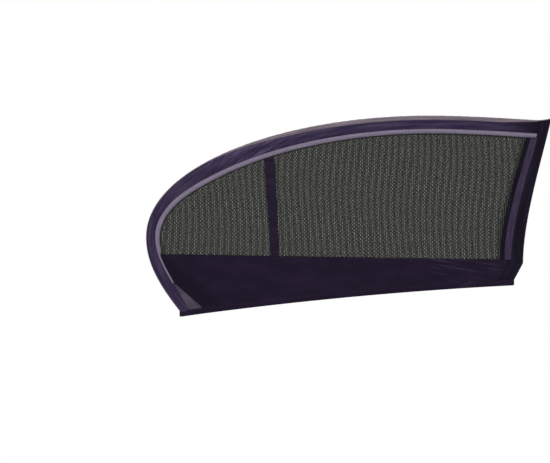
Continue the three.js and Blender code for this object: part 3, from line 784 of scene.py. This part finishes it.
def hem(material):
    """A folded band round the mouth: a rounded oblong section, carried round and gathered by its
    elastic, with a sine of short pitch that swells and dips and a seam line near its top."""
    c = settings()[1]
    *_, hem_foot, rear_x, front_x = above_hem()
    plan, out = mouth_plan(rear_x, front_x)
    run = np.append(0, np.cumsum(np.hypot(*np.diff(plan))))[:, None]
    turn = np.linspace(0, TURN, 28, endpoint=False)[None, :]
    cos, sin = np.cos(turn), np.sin(turn)
    wide = 0.002 * np.sign(cos) * np.abs(cos) ** 0.5
    high = c.hem_height / 2 * (1 + np.sign(sin) * np.abs(sin) ** 0.6)
    pucker = np.sin(TURN * run / 0.0085 + 0.6 * np.sin(run / 0.05)) * (0.6 + 0.4 * np.sin(run / 0.037))
    body = np.sin(np.pi * np.clip(high / (0.78 * c.hem_height), 0, 1))
    seam = -0.0007 * np.exp(-(((high - 0.80 * c.hem_height) / 0.0009) ** 2))
    out_by = wide + (wide > 0) * (0.00045 * pucker * body + seam)
    x = plan[0][:, None] + out[0][:, None] * out_by
    y = plan[1][:, None] + out[1][:, None] * out_by
    z = hem_foot(plan[0])[:, None] + high + 0.0002 * pucker * (high < 0.002)
    rings = np.stack(np.broadcast_arrays(x, y, z), -1)
    uv = np.stack(np.broadcast_arrays(run, high), -1)
    made = piece("hem_cloth", *tube(rings, uv, loop=True), material, ["hem", "hem_elastic"], "skirt_cloth")


# Sewing


def stitch_row(lines):
    """Stitches along lines of (points, the way out): each a short spindle, 0.62 of the pitch long and
    standing half out of the cloth."""
    pitch = settings()[1].stitch
    points, faces = [], []
    count = 0
    for path, out in lines:
        far = np.append(0, np.cumsum(np.linalg.norm(np.diff(path, axis=0), axis=1)))
        at = np.arange(pitch / 2, far[-1], pitch)
        middle = np.stack([np.interp(at, far, path[:, k]) for k in range(3)], -1)
        ahead = np.stack([np.interp(at + 0.001, far, path[:, k]) for k in range(3)], -1)
        back = np.stack([np.interp(at - 0.001, far, path[:, k]) for k in range(3)], -1)
        way = ahead - back
        way = way / np.maximum(np.linalg.norm(way, axis=1, keepdims=True), 1e-9)
        out = np.broadcast_to(np.array(out, float), way.shape)
        aside = np.cross(way, out)
        rings = []
        for place, radius in ((-0.5, 0.00018), (-0.32, 0.00042), (0.32, 0.00042), (0.5, 0.00018)):
            proud = 0.00012 if abs(place) > 0.4 else 0.0003
            centre = middle + way * place * 0.62 * pitch + out * proud
            for k in range(4):
                angle = TURN * (k + 0.5) / 4
                rings.append(centre + radius * (np.cos(angle) * aside + np.sin(angle) * out))
        block = np.stack(rings, 1)
        base = count + 16 * np.arange(len(middle))[:, None]
        for r in range(3):
            for k in range(4):
                here, after = 4 * r + k, 4 * r + (k + 1) % 4
                faces.append(base + np.array([[here, after, after + 4, here + 4]]))
        faces += [base + np.array([[3, 2, 1, 0]]), base + np.array([[12, 13, 14, 15]])]
        points.append(block.reshape(-1, 3))
        count += len(block) * 16
    return np.concatenate(points), [np.concatenate(faces)]


def strip_line(stations, inset, share, side, height, lift, keep):
    """A line along a strip at one inset, lying on its outer face."""
    x, z = offset(stations, inset)
    inside = keep(x, z) > 0.001
    rise = lift(stations[5], np.broadcast_to(share, x.shape))
    path = np.stack([x, side * (height + rise), z], -1)
    return path[inside], (0, side, 0)


def stitches(material):
    """Every visible row of stitches, on both sides of the shade."""
    c = settings()[1]
    arch, front, belt, hem_foot, rear_x, front_x = above_hem()
    over_hem, behind, under, _, _ = limits()
    top = layers()[1] + c.cloth
    lines = []
    begin = roll_depth(arch[4]) + NEAR
    border, window = border_width(arch[4]), window_inset(arch[4])
    for side, lift, inner, edge, last in (
        (-1, border_lift, border + 0.004, front_border_width, border - 0.0016),
        (1, flat_lift, window, front_window_inset, window - 0.002),
    ):
        keep = both(over_hem, behind(edge))
        for inset in (roll_depth(arch[4]) + 0.0022, last):
            share = (inset - begin) / (inner - begin)
            lines.append(strip_line(arch, inset, share, side, top, lift, keep))
    begin = ROLL_EDGE + NEAR
    keep = both(over_hem, under(roll_depth))
    for side, lift, edge, last in (
        (-1, pleat_lift, front_border_width(front[4]), 0.0055),
        (1, flat_lift, front_window_inset(front[4]), 0.002),
    ):
        for inset in (np.full_like(edge, begin + 0.002), edge - last):
            share = (inset - begin) / (edge - begin)
            lines.append(strip_line(front, inset, share, side, top, lift, keep))
    for side, proud in ((-1, 0.00005), (1, 0)):
        x = skirt_edges(side)[0][4:-4, 0]
        path = np.stack([x, np.full_like(x, side * (top + proud)), belt(x) - 0.0022], -1)
        lines.append((path, (0, side, 0)))
    for share in (0, 1):
        x, z = strap_rows(np.linspace(0.05, 0.99, 80), share, 0.0016, 0)
        lines.append((np.stack([x, np.full_like(x, -top - 0.0002), z], -1), (0, -1, 0)))
    plan = mouth_plan(rear_x, front_x)[0]
    chosen = np.arange(4, MOUTH_STEPS - 4)
    for first, side in ((0, -1), (MOUTH_STEPS + BEND_STEPS, 1)):
        x, y = plan[0][chosen + first], plan[1][chosen + first] + side * 0.0014
        lines.append((np.stack([x, y, hem_foot(x) + 0.80 * c.hem_height], -1), (0, side, 0)))
    points, faces = stitch_row(lines)
    piece("seam_stitches", points, faces, points[:, [0, 2]], material, [], "border_cloth")


# Materials


def linear(code):
    """An sRGB hex colour as linear red, green, blue and alpha."""
    value = np.array([int(code[i : i + 2], 16) for i in (1, 3, 5)]) / 255
    value = np.where(value <= 0.04045, value / 12.92, ((value + 0.055) / 1.055) ** 2.4)
    return (*(float(v) for v in value), 1.0)


def add_node(tree, kind, values=None, links=None, **settings_of):
    """A node with its settings, its inputs' values and what feeds it: a socket, or a node's first one."""
    made = tree.nodes.new("ShaderNode" + kind)
    for key, value in settings_of.items():
        setattr(made, key, value)
    for key, value in (values or {}).items():
        made.inputs[key].default_value = value
    for key, source in (links or {}).items():
        tree.links.new(getattr(source, "outputs", [source])[0], made.inputs[key])
    return made


def empty_tree(owner):
    """The emptied node tree of a material or a world."""
    owner.use_nodes = True
    owner.node_tree.nodes.clear()
    return owner.node_tree


def finish_cloth(tree, shade, bump, values):
    """The shader that ends a cloth's tree. 1.5 is a usual index of refraction for synthetic yarn."""
    shader = add_node(tree, "BsdfPrincipled", {"IOR": 1.5, **values}, {"Base Color": shade, "Normal": bump})
    add_node(tree, "OutputMaterial", links={"Surface": shader})


def bands(period):
    """The scale at which Blender's wave texture repeats after a period in metres."""
    return TURN / 20 / period


def woven(name, base, painted_sheen, streak, rib, relief, roughness, sheen, fade=None, crease_highlight=None):
    """A knitted or woven cloth on the piece's own UV map, which is in metres. Its second colour is painted
    sheen in paler streaks, streak of them to the metre each way; rib is the spacing of the crossing rows
    of yarn and relief their height. fade is a colour, a direction and the two distances along it between
    which the cloth turns to that colour. The crease colour, an angle and two lengths give painted
    highlight: pale streaks along the creases, run over the cloth at that angle between those lengths."""
    made = bpy.data.materials.new(name)
    tree = empty_tree(made)
    place = add_node(tree, "TexCoord").outputs["UV"]
    long = add_node(tree, "Mapping", {"Scale": streak}, {"Vector": place})
    uneven = {"Scale": 1.0, "Detail": 5.0, "Roughness": 0.62}
    streaks = add_node(tree, "TexNoise", uneven, {"Vector": long}).outputs["Fac"]
    spread = add_node(tree, "MapRange", {"From Min": 0.42, "From Max": 0.78}, {"Value": streaks})
    mottle = add_node(tree, "TexNoise", {"Scale": 260.0, "Detail": 3.0}, {"Vector": place}).outputs["Fac"]
    value = add_node(tree, "MapRange", {"To Min": 0.78, "To Max": 1.22}, {"Value": mottle})
    # The second colour is painted sheen, laid in streaks by the stretched noise.
    ends = {6: linear(base), 7: linear(painted_sheen)}
    tone = add_node(tree, "Mix", ends, {0: spread}, data_type="RGBA").outputs[2]
    # Painted highlight: pale slanting streaks where light catches the creases.
    if crease_highlight:
        code, angle, start, end = crease_highlight
        crease_size = {"Rotation": (0, 0, angle), "Scale": (0.10, 0.0055, 1)}
        slanted = add_node(tree, "Mapping", crease_size, {"Vector": place}, vector_type="TEXTURE")
        crease_light = add_node(tree, "TexNoise", {"Scale": 1.0, "Detail": 2.0}, {"Vector": slanted}).outputs["Fac"]
        near = add_node(tree, "MapRange", {"From Min": 0.50, "From Max": 0.72}, {"Value": crease_light})
        run = add_node(tree, "SeparateXYZ", links={0: place}).outputs["X"]
        for low, high in ((start - 0.04, start), (end + 0.04, end)):
            reach = {"From Min": low, "From Max": high}
            side = add_node(tree, "MapRange", reach, {"Value": run}, interpolation_type="SMOOTHSTEP")
            near = add_node(tree, "Math", links={0: near, 1: side}, operation="MULTIPLY")
        tone = add_node(tree, "Mix", {7: linear(code)}, {0: near, 6: tone}, data_type="RGBA").outputs[2]
    if fade:
        code, way, start, end = fade
        far = add_node(tree, "VectorMath", {1: way}, {0: place}, operation="DOT_PRODUCT").outputs["Value"]
        reach = {"From Min": start, "From Max": end}
        part = add_node(tree, "MapRange", reach, {"Value": far}, interpolation_type="SMOOTHSTEP")
        tone = add_node(tree, "Mix", {7: linear(code)}, {0: part, 6: tone}, data_type="RGBA").outputs[2]
    shade = add_node(tree, "HueSaturation", links={"Value": value, "Color": tone})
    warp, weft = (
        add_node(tree, "TexWave", {"Scale": bands(gap), "Distortion": 0.6, "Detail": 1.0},
                 {"Vector": place}, bands_direction=way).outputs["Fac"]
        for gap, way in ((rib, "X"), (rib * 0.8, "Y"))
    )
    yarn = add_node(tree, "Math", links={0: warp, 1: weft}, operation="MULTIPLY")
    height = add_node(tree, "Math", links={0: yarn, 1: mottle}, operation="ADD")
    bump = add_node(tree, "Bump", {"Strength": 0.7, "Distance": relief}, {"Height": height})
    nap = {"Sheen Weight": sheen, "Sheen Roughness": 0.45}
    finish_cloth(tree, shade, bump, {"Roughness": roughness, "Specular IOR Level": 0.09, **nap})
    return made


def stretch_knit(end):
    """Polyester warp knit, heat-set: smooth and a little glossy, with painted sheen in paler streaks and
    painted highlight along its slanting creases, and darker where it is doubled at the front corner. Its
    real yarn is 0.3 mm, drawn at 1.6 mm so that it shows at all."""
    h = settings()[2]
    fade = (h.front, (1, 0, 0), end - 0.16, end - 0.02)
    # Painted highlight: pale slanting streaks along the arch border's folds.
    crease_highlight = ("#62567A", 2.82, 0.50, 0.68)
    return woven("polyester_warp_knit", h.border, h.border_sheen, fade=fade, crease_highlight=crease_highlight,
                 streak=(9, 150, 1), rib=0.0016, relief=0.0003, roughness=0.50, sheen=0.03)


def front_knit():
    """The same warp knit doubled over the front edge, where nothing behind it shows: its deepest
    purple, in fine streaks."""
    return woven("doubled_warp_knit", settings()[2].front, "#221930",
                 streak=(9, 150, 1), rib=0.0016, relief=0.0003, roughness=0.50, sheen=0.03)


def stretch_tape():
    """Folded knit tape, ironed flat, with fine streaks along it."""
    return woven("folded_knit_tape", "#1C1226", "#2A2035",
                 streak=(120, 12, 1), rib=0.0016, relief=0.00025, roughness=0.55, sheen=0.03)


def skirt_knit():
    """The same knit in a denser, matter weight, brushed inside: nearly black, with painted highlight along
    soft creases near the front corner, and painted shade behind a slanting line beside the gusset's fold."""
    h = settings()[2]
    # Painted shade: darker behind a slanting line beside the gusset, by the fold there.
    fade = ("#150D20", (-0.69, -0.724, 0), 0.680, 0.722)
    # Painted highlight: pale streaks along the skirt's creases near the front corner.
    crease_highlight = ("#352B43", -0.16, 0.03, 0.15)
    return woven("dense_polyester_knit", h.skirt, "#251A32", fade=fade, crease_highlight=crease_highlight,
                 streak=(14, 30, 1), rib=0.0016, relief=0.00025, roughness=0.62, sheen=0.03)


def highlighted_edge_knit():
    """Brushed warp-knit binding: its pale mauve, with paler streaks, is painted highlight along the edge.
    Its nap is 0.2 mm, drawn at 1.2 mm."""
    return woven("edge_binding_painted_highlight", settings()[2].roll, "#9A8C96",
                 streak=(10, 220, 1), rib=0.0012, relief=0.0005, roughness=0.85, sheen=0.12)


def rib_piping():
    """Foam-filled satin piping: a smooth grey crown with fine ribs across it."""
    return woven("satin_covered_piping", settings()[2].piping, "#91869B",
                 streak=(20, 200, 1), rib=0.0018, relief=0.0002, roughness=0.42, sheen=0.03)


def grosgrain():
    """Woven grosgrain tape: ribs across a narrow purple stripe."""
    return woven("grosgrain_tape", settings()[2].trim, "#463C56",
                 streak=(30, 160, 1), rib=0.0020, relief=0.0003, roughness=0.50, sheen=0.03)


def gusset_knit():
    """Light single-layer tricot, stretched so far that it shows grey."""
    return woven("stretched_tricot", settings()[2].gusset, "#5E5563",
                 streak=(40, 60, 1), rib=0.0016, relief=0.0002, roughness=0.60, sheen=0.03)


def plain_yarn(name, code, roughness, grain):
    """A yarn whose filaments show as a fine change of shade and a little relief."""
    made = bpy.data.materials.new(name)
    tree = empty_tree(made)
    place = add_node(tree, "TexCoord").outputs["Object"]
    noise = add_node(tree, "TexNoise", {"Scale": grain, "Detail": 4.0}, {"Vector": place}).outputs["Fac"]
    value = add_node(tree, "MapRange", {"To Min": 0.6, "To Max": 1.4}, {"Value": noise})
    shade = add_node(tree, "HueSaturation", {"Color": linear(code)}, {"Value": value})
    bump = add_node(tree, "Bump", {"Strength": 0.5, "Distance": 0.0003}, {"Height": noise})
    values = {"Roughness": roughness, "Specular IOR Level": 0.15, "Sheen Weight": 0.02}
    finish_cloth(tree, shade, bump, values)
    return made


# Operators: one for each piece or group, and one for the stage


class SHADE_OT_nets(bpy.types.Operator):
    """Knit the two see-through walls"""

    bl_idname = "shade.nets"
    bl_label = "Nets"

    def execute(self, context):
        c = settings()[1]
        yarn = plain_yarn("polyester_net_yarn", settings()[2].net, 0.8, 900.0)
        net("front_net_yarn", "front_net", -1, c.net_pitch, c.net_row, yarn)
        plain_net("rear_net_yarn", "rear_net", 1, yarn)
        return {"FINISHED"}


class SHADE_OT_edges(bpy.types.Operator):
    """Roll the edge bands over the frame"""

    bl_idname = "shade.edges"
    bl_label = "Edge bands"

    def execute(self, context):
        arch, front = shape()[:2]
        over_hem, _, _, arch_side, front_side = limits()
        edge_roll("edge_band_roll", "edge_band", arch, roll_depth, highlighted_edge_knit(), "edge_cloth", 0.00018,
                  both(over_hem, arch_side))
        edge_roll("front_edge_roll", "front_edge_band", front, lambda s: np.full_like(s, ROLL_EDGE),
                  front_knit(), "border_cloth", 0.00015, both(over_hem, front_side))
        return {"FINISHED"}


class SHADE_OT_borders(bpy.types.Operator):
    """Cut the solid borders of both walls"""

    bl_idname = "shade.borders"
    bl_label = "Borders"

    def execute(self, context):
        c = settings()[1]
        arch, front = shape()[:2]
        over_hem, behind, under, _, _ = limits()
        layer = layers()[1]
        knit, dark = stretch_knit(arch[5, -1]), front_knit()
        window, front_window = window_inset(arch[4]), front_window_inset(front[4])
        border, front_border = border_width(arch[4]) + 0.004, front_border_width(front[4])
        start = roll_depth(arch[4]) + c.seam_gap
        for name, node, side, columns, inner, edge, lift in (
            ("arch_border_cloth", "arch_border", -1, 34, border, front_border_width, border_lift),
            ("rear_arch_border_cloth", "rear_arch_border", 1, 12, window, front_window_inset, flat_lift),
        ):
            keep = both(over_hem, behind(edge))
            strip_piece(name, strip(arch, start, inner, columns, side, layer, lift, c.cloth, keep),
                        knit, [node], "border_cloth")
        start = np.full_like(front[4], ROLL_EDGE + c.seam_gap)
        keep = both(over_hem, under(roll_depth))
        for name, node, side, columns, inner, lift in (
            ("front_edge_border_cloth", "front_edge_border", -1, 44, front_border, pleat_lift),
            ("rear_front_border_cloth", "rear_front_edge_border", 1, 12, front_window, flat_lift),
        ):
            strip_piece(name, strip(front, start, inner, columns, side, layer, lift, c.cloth, keep),
                        dark, [node], "border_cloth")
        return {"FINISHED"}


class SHADE_OT_trims(bpy.types.Operator):
    """Sew on the piping, the stripe, its binding and the strap"""

    bl_idname = "shade.trims"
    bl_label = "Piping and trims"

    def execute(self, context):
        c = settings()[1]
        _, layer, trim = layers()
        _, front, belt, _ = shape()
        piping(rib_piping())
        keep = both(lambda x, z: z - belt(x) - c.seam_gap, limits()[2](window_inset))
        width = front_border_width(front[4])
        crowned = strip(front, width - 0.004, width + 0.013, 14, -1, trim, crown_lift, c.cloth, keep)
        strip_piece("front_edge_stripe", crowned, grosgrain(), ["front_edge_trim"], "trim_cloth")
        flat = strip(front, width + NEAR, width + BINDING, 8, -1, layer, flat_lift, c.cloth, keep)
        strip_piece("front_edge_bound", flat, front_knit(), ["front_edge_binding"], "border_cloth")
        strap(stretch_tape())
        return {"FINISHED"}


class SHADE_OT_skirts(bpy.types.Operator):
    """Hang the skirts and the gusset"""

    bl_idname = "shade.skirts"
    bl_label = "Skirts and gusset"

    def execute(self, context):
        c = settings()[1]
        knit = skirt_knit()
        skirt("front_skirt_cloth", "front_skirt", -1, c.flare, knit)
        skirt("rear_skirt_cloth", "rear_skirt", 1, c.rear_flare, knit)
        gusset(gusset_knit())
        arch, front, belt, _ = shape()
        rear = arch[:, arch[4] < 1]

        def under_belt(x, z):
            return belt(x) - HALF_TAPE - z

        low = both(limits()[0], under_belt)
        above_gusset = both(lambda x, z: z - gusset_top() - 0.007, under_belt)
        for name, stations, inset, side, keep in (
            ("front_skirt_fore_seam", front, front_border_width(front[4]), -1, low),
            ("rear_skirt_fore_seam", front, front_window_inset(front[4]), 1, low),
            ("front_skirt_aft_seam", rear, border_width(rear[4]) + 0.004, -1, above_gusset),
            ("rear_skirt_aft_seam", rear, window_inset(rear[4]), 1, low),
        ):
            seam_tape(name, stations, inset, side, keep, knit)
        return {"FINISHED"}


class SHADE_OT_hem(bpy.types.Operator):
    """Fold the hem over its elastic"""

    bl_idname = "shade.hem"
    bl_label = "Hem"

    def execute(self, context):
        hem(skirt_knit())
        return {"FINISHED"}


class SHADE_OT_stitches(bpy.types.Operator):
    """Sew the visible rows of stitches"""

    bl_idname = "shade.stitches"
    bl_label = "Stitches"

    def execute(self, context):
        stitches(plain_yarn("sewing_thread", settings()[2].thread, 0.6, 1500.0))
        return {"FINISHED"}


def lamp(name, place, aim, size, power):
    """A soft square lamp that points at a place."""
    light = bpy.data.lights.new(name, "AREA")
    light.shape = "RECTANGLE"
    light.size, light.size_y = size
    light.energy = power
    made = placed(name, light)
    made.location = place
    made.rotation_euler = (Vector(aim) - Vector(place)).to_track_quat("-Z", "Y").to_euler()


class SHADE_OT_stage(bpy.types.Operator):
    """Set the white floor, the lamps and the camera"""

    bl_idname = "shade.stage"
    bl_label = "Stage"

    def execute(self, context):
        scene = context.scene
        scene.view_settings.view_transform = "Standard"
        scene.world = bpy.data.worlds.new("white_studio")
        tree = empty_tree(scene.world)
        white = (1, 1, 1, 1)
        camera_ray = add_node(tree, "LightPath").outputs["Is Camera Ray"]
        dim = add_node(tree, "Background", {"Color": white, "Strength": 0.40})
        bright = add_node(tree, "Background", {"Color": white, "Strength": 1.0})
        mix = add_node(tree, "MixShader", links={0: camera_ray, 1: dim, 2: bright})
        add_node(tree, "OutputWorld", links={"Surface": mix})

        r, level = 30.0, -0.78
        floor = bpy.data.meshes.new("studio_floor")
        corners = [(x, y, level) for x, y in ((-r, -r), (r, -r), (r, r), (-r, r))]
        floor.from_pydata(corners, [], [(0, 1, 2, 3)])
        placed("studio_floor", floor)
        paper = bpy.data.materials.new("white_paper")
        tree = empty_tree(paper)
        camera_ray = add_node(tree, "LightPath").outputs["Is Camera Ray"]
        matt = add_node(tree, "BsdfDiffuse", {"Color": (0.85, 0.85, 0.85, 1)})
        glow = add_node(tree, "Emission", {"Color": white, "Strength": 0.45})
        lit = add_node(tree, "AddShader", links={0: matt, 1: glow})
        blank = add_node(tree, "Emission", {"Color": white, "Strength": 1.0})
        place = add_node(tree, "TexCoord").outputs["Object"]
        far = add_node(tree, "VectorMath", links={0: place}, operation="LENGTH").outputs["Value"]
        fade = add_node(tree, "MapRange", {"From Min": 0.7, "From Max": 1.3}, {"Value": far})
        seen = add_node(tree, "MixShader", links={0: fade, 1: lit, 2: blank})
        mix = add_node(tree, "MixShader", links={0: camera_ray, 1: matt, 2: seen})
        add_node(tree, "OutputMaterial", links={"Surface": mix})
        floor.materials.append(paper)

        middle = (-0.2, 0.0, -0.25)
        lamp("key", (-1.1, -1.9, 1.3), middle, (1.3, 0.9), 30.0)
        lamp("fill", (1.6, -1.6, 0.2), middle, (1.2, 1.2), 7.0)
        lamp("top", (-0.2, 0.3, 1.6), middle, (1.8, 0.8), 13.0)
        lamp("rear", (-0.2, 2.0, 0.6), middle, (1.6, 1.2), 12.0)

        lens = bpy.data.cameras.new("photo_camera")
        lens.lens = 50.0
        lens.sensor_width = 36.0
        eye = placed("photo_camera", lens)
        wide = 550 * 0.0025
        away = wide * lens.lens / lens.sensor_width
        eye.location = (-0.3875, -away - 0.017, -0.291)
        eye.rotation_euler = (np.pi / 2, 0, 0)
        scene.camera = eye
        return {"FINISHED"}


STEPS = (SHADE_OT_nets, SHADE_OT_edges, SHADE_OT_borders, SHADE_OT_trims, SHADE_OT_skirts, SHADE_OT_hem,
         SHADE_OT_stitches, SHADE_OT_stage)


class SHADE_PT_panel(bpy.types.Panel):
    """The shade's operators, in the order they run"""

    bl_idname = "SHADE_PT_panel"
    bl_label = "Side window sunshade"
    bl_space_type = "VIEW_3D"
    bl_region_type = "UI"
    bl_category = "Sunshade"

    def draw(self, context):
        for step in STEPS:
            self.layout.operator(step.bl_idname)
        for group in (context.scene.shade_outline, context.scene.shade_cloth, context.scene.shade_colours):
            box = self.layout.box()
            for key in group.__annotations__:
                box.prop(group, key)


GROUPS = (SHADE_PG_outline, SHADE_PG_cloth, SHADE_PG_colours)


def register():
    """Add the groups, operators and panel."""
    for made in (*GROUPS, *STEPS, SHADE_PT_panel):
        bpy.utils.register_class(made)
    bpy.types.Scene.shade_outline = bpy.props.PointerProperty(type=SHADE_PG_outline)
    bpy.types.Scene.shade_cloth = bpy.props.PointerProperty(type=SHADE_PG_cloth)
    bpy.types.Scene.shade_colours = bpy.props.PointerProperty(type=SHADE_PG_colours)


def unregister():
    """Take them out again."""
    del bpy.types.Scene.shade_outline, bpy.types.Scene.shade_cloth, bpy.types.Scene.shade_colours
    for made in reversed((*GROUPS, *STEPS, SHADE_PT_panel)):
        bpy.utils.unregister_class(made)


def main():
    """Build the shade and its stage."""
    register()
    bpy.ops.shade.nets()
    bpy.ops.shade.edges()
    bpy.ops.shade.borders()
    bpy.ops.shade.trims()
    bpy.ops.shade.skirts()
    bpy.ops.shade.hem()
    bpy.ops.shade.stitches()
    bpy.ops.shade.stage()


if __name__ == "__main__":
    main()
